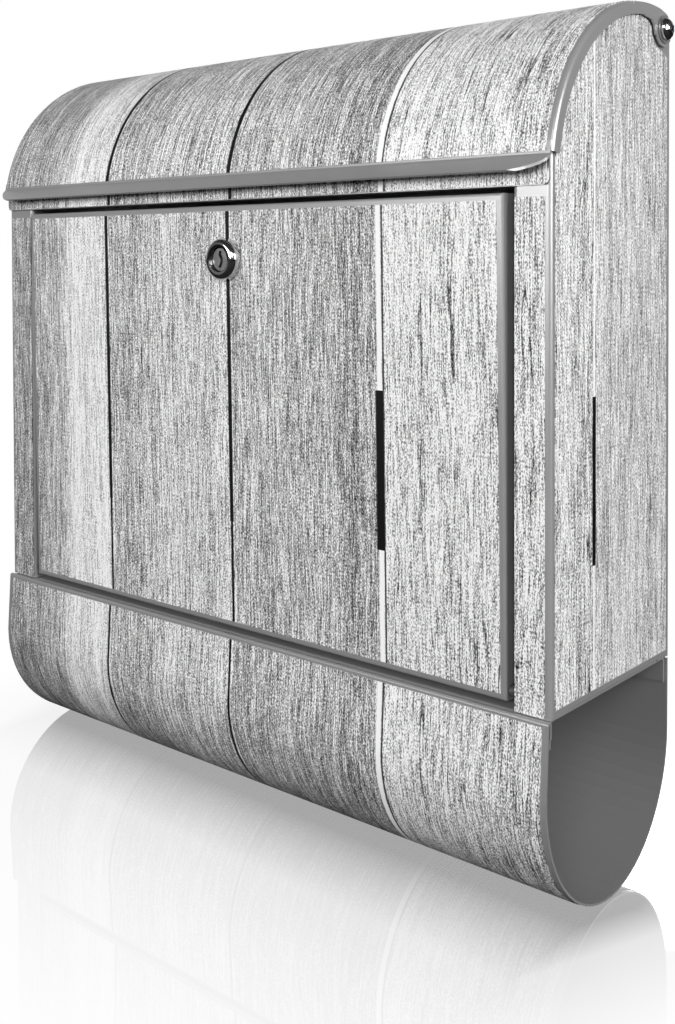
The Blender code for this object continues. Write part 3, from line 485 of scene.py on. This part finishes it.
def plank_print(face):
    finish = Finish("plank_print_" + face)
    finish.shader.inputs["Specular IOR Level"].default_value = 0.25
    across, up = spot_in_print(finish, face)
    field = wood_grain(finish, across, up)
    tone = finish.ramp(across, TONES) + field["broad"] * 0.30 + field["streak"] * 0.36
    tone = tone + field["fine"] * by_board(across, BOARD_CONTRAST)
    tone = tone - field["split"] * 0.55 - field["pit"] * 0.45
    # painted shade: darker towards the top of the lid and the belly of the tray
    painted_shade = [up.fade(start, end) * share for start, end, share in (PAINTED_SHADE_UP, PAINTED_SHADE_DOWN)]
    tone = draw_joints(tone * (1.0 - (painted_shade[0] + painted_shade[1])), across, up)
    finish.feed("Base Color", finish.grey(tone.most(0.02).least(0.99) ** EYE_POWER))
    finish.feed("Roughness", 0.46 - field["broad"] * 0.10 + field["split"] * 0.1)
    finish.bump(field["thread"] * 0.6 + field["streak"] * 0.4, THREAD_RELIEF, 0.35)
    return finish.material


print_of = {face: plank_print(face) for face in ("front", "right", "left", "bent")}
print("print materials", len(print_of["front"].node_tree.nodes), "nodes each")

# %% [markdown]
# ## Metals
#
# The sheet metal has a silver powder coat: a satin paint with a very fine pebbled surface, baked
# on from powder. Its colour hardly varies, so a cloud and a pebble of noise are enough.

# %% Silver powder coat


def even_noise(finish, size, detail=2.0, roughness=0.5):
    """Noise with grains of one size in every direction."""
    x, y, z = finish.place()
    return finish.noise(x / size, y / size, z / size, detail, roughness)


def silver_coat(name, colour, roughness):
    finish = Finish(name, metallic=0.40)
    cloud = even_noise(finish, 0.06)
    pebble = even_noise(finish, 0.00045, 2.0, 0.6)
    finish.feed("Base Color", finish.grey(colour + cloud * 0.03 + pebble * 0.05))
    finish.feed("Roughness", roughness + cloud * 0.08 + pebble * 0.06)
    finish.bump(pebble, 0.00003, 0.5)
    return finish.material


silver = silver_coat("silver_powder_coat", 0.38, 0.30)

# %% [markdown]
# The lock's collar and the pivot screws are polished chrome, and the lock's plug is duller
# nickel. Polish leaves faint smears, which show as small changes of gloss.

# %% Chrome and nickel


def polished(name, colour, roughness):
    finish = Finish(name, metallic=1.0)
    smear = even_noise(finish, 0.004, 3.0)
    finish.feed("Roughness", roughness + smear * 0.08)
    finish.feed("Base Color", finish.grey(colour + smear * 0.05))
    return finish.material


chrome = polished("polished_chrome", 0.62, 0.10)
core_metal = polished("lock_core_nickel", 0.42, 0.30)

# %% [markdown]
# The small inner hardware is zinc plated steel, with a crystal pattern under fine brush marks.
# The washers between the moving sheets are moulded from black nylon with a matt skin.

# %% Zinc and nylon


def zinc_plate(name):
    finish = Finish(name, metallic=0.95)
    x, y, z = finish.place()
    spangle = even_noise(finish, 0.0016)
    brushed = finish.noise(x / 0.0002, y / 0.004, z / 0.004)
    finish.feed("Base Color", finish.grey(0.56 + spangle * 0.12))
    finish.feed("Roughness", 0.34 + spangle * 0.15 + brushed * 0.1)
    finish.bump(brushed, 0.00002, 0.4)
    return finish.material


def moulded_nylon(name):
    finish = Finish(name, roughness=0.5)
    matt = even_noise(finish, 0.0003)
    finish.feed("Base Color", finish.grey(0.05 + matt * 0.02))
    finish.bump(matt, 0.00003, 0.4)
    return finish.material


zinc = zinc_plate("zinc_plate")
nylon = moulded_nylon("moulded_nylon")

# %% [markdown]
# The record names the finish of each part. Three parts differ from their group: the films on the
# two sides carry the print on from the front corner, and the lock's plug is nickel.

# %% Finishes on the parts
SLOT_FINISH = {
    "silver_coat": silver, "chrome": chrome, "zinc": zinc, "nylon": nylon,
    "printed_film": print_of["front"],
}
OWN_FINISH = {
    "film_side_right": print_of["right"], "film_side_left": print_of["left"],
    "lock_plug": core_metal,
}
slot_of = {entry["node"]: entry["material_slot"] for entry in frame["record"]["subparts"]}
for node, part in frame["nodes"].items():
    part.data.materials.clear()
    part.data.materials.append(OWN_FINISH.get(node, SLOT_FINISH[slot_of[node]]))
print("finishes on", len(frame["nodes"]), "parts")

# %% [markdown]
# ## The film on the lid
#
# The lid is rolled round a circle, so its film is part of a tube. A grid of angles and places
# across gives its points, and the UV map measures the arc, so the boards keep their size round
# the bend and meet the ones on the rail below.

# %% Film on the lid
ACROSS_POINTS = 60
ARC_POINTS = 120


def places_across(node):
    low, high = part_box(node)
    return np.linspace(low[0], high[0], ACROSS_POINTS)[None, :]


def grid_of(across, y, z):
    """A point for each place across and each row of the bend."""
    return np.stack(np.broadcast_arrays(across, y[:, None], z[:, None]), axis=-1)


def print_grid(across, up):
    """The place in the print for each place across and each row of the bend."""
    return np.stack(np.broadcast_arrays(across, up[:, None]), axis=-1)


def stick(film, node, body):
    """Puts the print on a film that takes the place of a frame part."""
    film.data.materials.append(print_of["bent"])
    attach(film, body)
    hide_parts(node)


def lid_film(name, node):
    """Film on the lid: y = centre + r cos(angle), z = centre + r sin(angle), up = the arc's length."""
    angle = np.linspace(LID_FRONT_ANGLE, LID_REAR_ANGLE, ARC_POINTS)
    across = places_across(node)
    outer, inner = (
        grid_of(across, LID_Y + radius * np.cos(angle), LID_Z + radius * np.sin(angle))
        for radius in (LID_FILM_RADIUS, LID_FILM_RADIUS - FILM_THICK)
    )
    up = LID_Z + LID_RADIUS * (math.pi - angle)
    return thick_sheet(name, outer, inner, print_grid(across, up))


stick(lid_film("lid_print", "film_lid"), "film_lid", "lid")

# %% [markdown]
# ## The film on the tray
#
# The tray's sheet runs straight down at the front and then round half an ellipse, whose foremost
# point and lowest point come from the tray itself. The film starts at its own top edge, meets the
# ellipse at its foremost point and follows it to where the film ends.

# %% The line of the tray's film
STRAIGHT_POINTS = 11
BEND_POINTS = 110


def tray_ellipse():
    """Centre y and z, half width and fall of the ellipse that the bottom of the tray follows."""
    points = vertices_of("newspaper_tray")
    front = points[np.argmin(points[:, 1])]
    return front[1] / 2, front[2], -front[1] / 2, front[2] - points[:, 2].min()


def film_top():
    """The foremost point of the top edge of the tray's film, in y and z."""
    points = vertices_of("film_tray")
    edge = points[np.abs(points[:, 0] - tray_film_high[0]) < NEAR]
    top_row = edge[edge[:, 2] > tray_film_high[2] - 10 * NEAR]
    return top_row[np.argmin(top_row[:, 1]), 1:3]


centre_y, centre_z, half, fall = tray_ellipse()
reach_y, reach_z = half + FILM_OUT, fall + FILM_OUT
end_angle = 2 * math.pi - math.acos(min(1.0, (tray_film_high[1] - centre_y) / reach_y))
turn = np.linspace(math.pi, end_angle, BEND_POINTS)
bend = np.column_stack([centre_y + reach_y * np.cos(turn), centre_z + reach_z * np.sin(turn)])
share = np.linspace(0, 1, STRAIGHT_POINTS + 1)[:-1, None]
tray_line = np.concatenate([film_top() * (1 - share) + bend[0] * share, bend])
print("tray ellipse", round(half, 4), "by", round(fall, 4), "line of", len(tray_line), "points")

# %% [markdown]
# The inner face of the film lies its thickness away from this line, square to it.

# %% Film on the tray


def normals_of(line):
    """Unit normals of a line of points in a plane, to the left of its direction."""
    step = np.gradient(line, axis=0)
    step /= np.linalg.norm(step, axis=1, keepdims=True)
    return np.column_stack([-step[:, 1], step[:, 0]])


def tray_film(name, node, line):
    """Film along a line in y and z, the same all across; up is the length along the line."""
    across = places_across(node)
    inner_line = line + normals_of(line) * FILM_THICK
    steps = np.linalg.norm(np.diff(line, axis=0), axis=1)
    print(name, "is", round(steps.sum(), 4), "m long before it is bent")
    up = line[0, 1] - np.concatenate([[0], np.cumsum(steps)])
    outer, inner = (grid_of(across, *path.T) for path in (line, inner_line))
    return thick_sheet(name, outer, inner, print_grid(across, up))


stick(tray_film("tray_print", "film_tray", tray_line), "film_tray", "body")

# %% [markdown]
# ## Round pieces
#
# The lock's collar is turned on a lathe and polished, so any facet would show in its reflections.
# It is a profile turned about its axis: a grid of profile points and angles, with the profile
# closed round the bore.

# %% Turned pieces
TURN_STEPS = 128
WELD = 1e-7


def turned(name, profile, origin, axis):
    """Rows of (radius, height) turned about the axis: origin + height * axis + radius * ring."""
    axis = np.array(axis) / np.linalg.norm(axis)
    side = np.cross(axis, (0, 0, 1.0))
    side /= np.linalg.norm(side)
    other = np.cross(axis, side)
    angle = np.linspace(0, 2 * math.pi, TURN_STEPS, endpoint=False)[None, :, None]
    ring = np.cos(angle) * side + np.sin(angle) * other
    grid = np.array(origin) + profile[:, 1, None, None] * axis + profile[:, 0, None, None] * ring
    index = np.arange(len(profile) * TURN_STEPS).reshape(len(profile), TURN_STEPS)
    index = np.concatenate([index, index[:, :1]], axis=1)
    index = np.concatenate([index, index[:1]])
    return face_outward(mesh_object(name, grid.reshape(-1, 3), quads(index)), WELD)


def ellipse_quarter(centre, radii, steps):
    """From straight out along the axis round to the side: centre + (a sin t, b cos t)."""
    t = np.linspace(0, math.pi / 2, steps)
    return np.column_stack([centre[0] + radii[0] * np.sin(t), centre[1] + radii[1] * np.cos(t)])


# %% [markdown]
# The profile's straight runs come from the frame's own collar: the radius and the height of each
# of its points about the lock's axis tell the rim, the seat on the door, the barrel behind it and
# the bore. Only the two curved runs are drawn again, each as a quarter of an ellipse with many
# more points: the crown on the outside and the dish that falls from it into the bore.

# %% Sizes of the lock's collar
lock_joint = next(joint for joint in frame["joints"] if joint["name"] == "lock_turn")
LOCK_AXIS = np.array(lock_joint["axis"]) / np.linalg.norm(lock_joint["axis"])

offset = vertices_of("lock_body") - np.array(lock_joint["pos_m"])
height = offset @ LOCK_AXIS
radius = np.linalg.norm(offset - height[:, None] * LOCK_AXIS, axis=1)
collar_radius, bore = radius.max(), radius.min()
crown_top, back_end = height.max(), height.min()
rim = np.unique(np.round(height[radius > collar_radius - NEAR], 6))
seat, rim_top = rim[0], rim[-1]
crown_radius = radius[height > crown_top - NEAR / 10].min()
barrel = radius[(height < seat + NEAR) & (radius < collar_radius - 10 * NEAR)].max()
bore_top = height[(radius < bore + NEAR) & (height > seat)].max()
print("collar radius", round(collar_radius, 5), "barrel", round(barrel, 5), "bore", round(bore, 5))

# %% Lock collar
CROWN_POINTS, DISH_POINTS = 24, 12
JUST_SHORT = 0.999      # the dish stops a hair before the crown, so that no two points meet

crown = ellipse_quarter(
    (crown_radius, rim_top), (collar_radius - crown_radius, crown_top - rim_top), CROWN_POINTS)
upward, outward = 1 - ellipse_quarter((0, 0), (1.0, JUST_SHORT), DISH_POINTS)[::-1].T
dish = np.column_stack([
    bore + (crown_radius - bore) * outward, bore_top + (crown_top - bore_top) * upward,
])
collar_profile = np.concatenate([
    [(bore, bore_top)], dish[1:-1], crown,
    [(collar_radius, seat), (barrel, seat), (barrel, back_end), (bore, back_end)],
])
collar = turned("lock_collar", collar_profile, lock_joint["pos_m"], LOCK_AXIS)
collar.data.materials.append(chrome)
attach(collar, "door")
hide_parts("lock_body")

# %% [markdown]
# ## The floor
#
# The mailbox is shown as in a catalogue: over a white floor with a clear gloss. The floor mirrors
# what is right above it, and the mirror fades out with the distance from the mailbox, as it would
# on a sheet of glossy paper that curves away. Every other ray meets a dark matt floor, so that
# the belly of the tray is lit by the room and not from below.

# %% Floor
FLOOR_REACH = 30.0
FLOOR_GAP = 0.0005          # between the floor and the lowest point of the mailbox
FLOOR_DARK = 0.03
MIRROR_ROUGHNESS = 0.02
LOWEST_Y = (tray_low[1] + tray_high[1]) / 2     # where the tray is nearest to the floor
SIDEWAYS = 2.5              # the mirror fades this much faster to the sides

floor_finish = Finish("pale_floor", colour=(FLOOR_DARK,) * 3)
floor_finish.shader.inputs["Specular IOR Level"].default_value = 0.0
x, y, z = floor_finish.place()
before, behind = (LOWEST_Y - y).most(0.0), (y - tray_high[1]).most(0.0)
away = before + behind + (abs(x) - HALF_WIDTH).most(0.0) * SIDEWAYS
mirror_share = 0.62 - away.fade(0.03, 0.085) * 0.40 - away.fade(0.085, 0.24) * 0.22
paper = floor_finish.node("ShaderNodeEmission", None, {"Color": (1.0, 1.0, 1.0, 1.0)})
gloss = floor_finish.node("ShaderNodeBsdfGlossy", None, {"Roughness": MIRROR_ROUGHNESS})
shown = floor_finish.node("ShaderNodeMixShader", None, [mirror_share, paper, gloss])
from_camera = floor_finish.node("ShaderNodeLightPath", output="Is Camera Ray")
matt = Value(floor_finish, floor_finish.shader.outputs[0])
floor_finish.show(
    "Material Output", floor_finish.node("ShaderNodeMixShader", None, [from_camera, matt, shown]))

floor_mesh = bpy.data.meshes.new("floor")
corners = [(-1, -1), (1, -1), (1, 1), (-1, 1)]
floor_mesh.from_pydata([(FLOOR_REACH * a, FLOOR_REACH * b, 0) for a, b in corners], [], [range(4)])
floor_mesh.materials.append(floor_finish.material)
floor = bpy.data.objects.new("floor", floor_mesh)
floor.location.z = cad_low[2] - FLOOR_GAP
bpy.context.scene.collection.objects.link(floor)
floor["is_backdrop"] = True
print("floor at", round(floor.location.z, 4))

# %% [markdown]
# ## The studio
#
# The room is dim, so that the panels shape the metal. Behind the mailbox hangs a white backdrop,
# which the floor mirrors and which lights its outline. What the camera sees directly of the room
# is white.

# %% Room and backdrop
BACKDROP_WAY = (-0.648, 0.761, 0.0)     # from the camera to the backdrop behind the mailbox
world = bpy.data.worlds.new("studio")
bpy.context.scene.world = world
world.use_nodes = True

sky = Nodes(world.node_tree)
way = sky.node("ShaderNodeTexCoord", output="Generated")
high = sky.node("ShaderNodeSeparateXYZ", None, [way], 2)
dot = {"operation": "DOT_PRODUCT"}
toward = sky.node("ShaderNodeVectorMath", dot, [way, BACKDROP_WAY], "Value")
room = 0.20 - high.fade(0.0, 0.7) * 0.16
backdrop = toward.fade(0.45, 0.70) * (1.0 - high.fade(0.45, 0.75))
brightness = room.most(backdrop).most(sky.node("ShaderNodeLightPath", output="Is Camera Ray"))
black, white = (
    sky.node("ShaderNodeBackground", None, {"Color": (1.0, 1.0, 1.0, 1.0), "Strength": strength})
    for strength in (0.0, 1.0)
)
sky.show("World Output", sky.node("ShaderNodeMixShader", None, [brightness, black, white]))

# %% [markdown]
# Four soft panels light it: one before the door, one beside the camera, a strong one on the right
# for the printed side, and a faint one behind for the edge of the lid. Each faces the middle of
# the box.

# %% Panels
MIDDLE = (Vector(cad_low) + Vector(cad_high)) / 2


def panel(name, place, width, height, power):
    light = bpy.data.lights.new(name, "AREA")
    light.shape = "RECTANGLE"
    light.size = width
    light.size_y = height
    light.energy = power
    lamp = bpy.data.objects.new(name, light)
    lamp.location = place
    lamp.rotation_euler = (MIDDLE - Vector(place)).to_track_quat("-Z", "Y").to_euler()
    bpy.context.scene.collection.objects.link(lamp)
    print(name, power, "W", round((MIDDLE - Vector(place)).length, 2), "m away")


panel("panel_front", (-0.4, -1.8, 0.40), 1.3, 0.6, 20)
panel("panel_camera", (1.1, -1.6, 0.65), 0.8, 0.6, 13.5)
panel("panel_right", (1.9, -0.2, 0.55), 1.0, 0.9, 29)
panel("panel_back", (-1.0, 1.8, 0.5), 1.0, 0.9, 12)

# %% [markdown]
# ## Camera
#
# The camera stands close, to the right of the door and a little under the top of the box, and
# looks almost level. The picture is shifted down rather than the camera tilted, so upright edges
# stay upright.

# %% Camera
CAMERA_RIGHT, CAMERA_BEFORE, CAMERA_ABOVE_FOOT = 0.4526, 0.5547, 0.1946
CAMERA_DOWN, CAMERA_ROLL, CAMERA_TURN = 1.28, 0.19, 40.41       # degrees
camera_data = bpy.data.cameras.new("camera")
camera_data.sensor_width = 36.0
camera_data.lens = 42.59
camera_data.shift_y = -0.2193
camera_data.clip_start = 0.01
camera_data.clip_end = 200.0
camera = bpy.data.objects.new("camera", camera_data)
camera.location = (CAMERA_RIGHT, -CAMERA_BEFORE, BODY_LOW_Z + CAMERA_ABOVE_FOOT)
turns = (90 - CAMERA_DOWN, CAMERA_ROLL, CAMERA_TURN)
camera.rotation_euler = Euler([math.radians(v) for v in turns])
bpy.context.scene.collection.objects.link(camera)
bpy.context.scene.camera = camera
bpy.context.scene.view_settings.view_transform = "Standard"
print("camera", [round(v, 3) for v in camera.location], "lens", camera_data.lens)
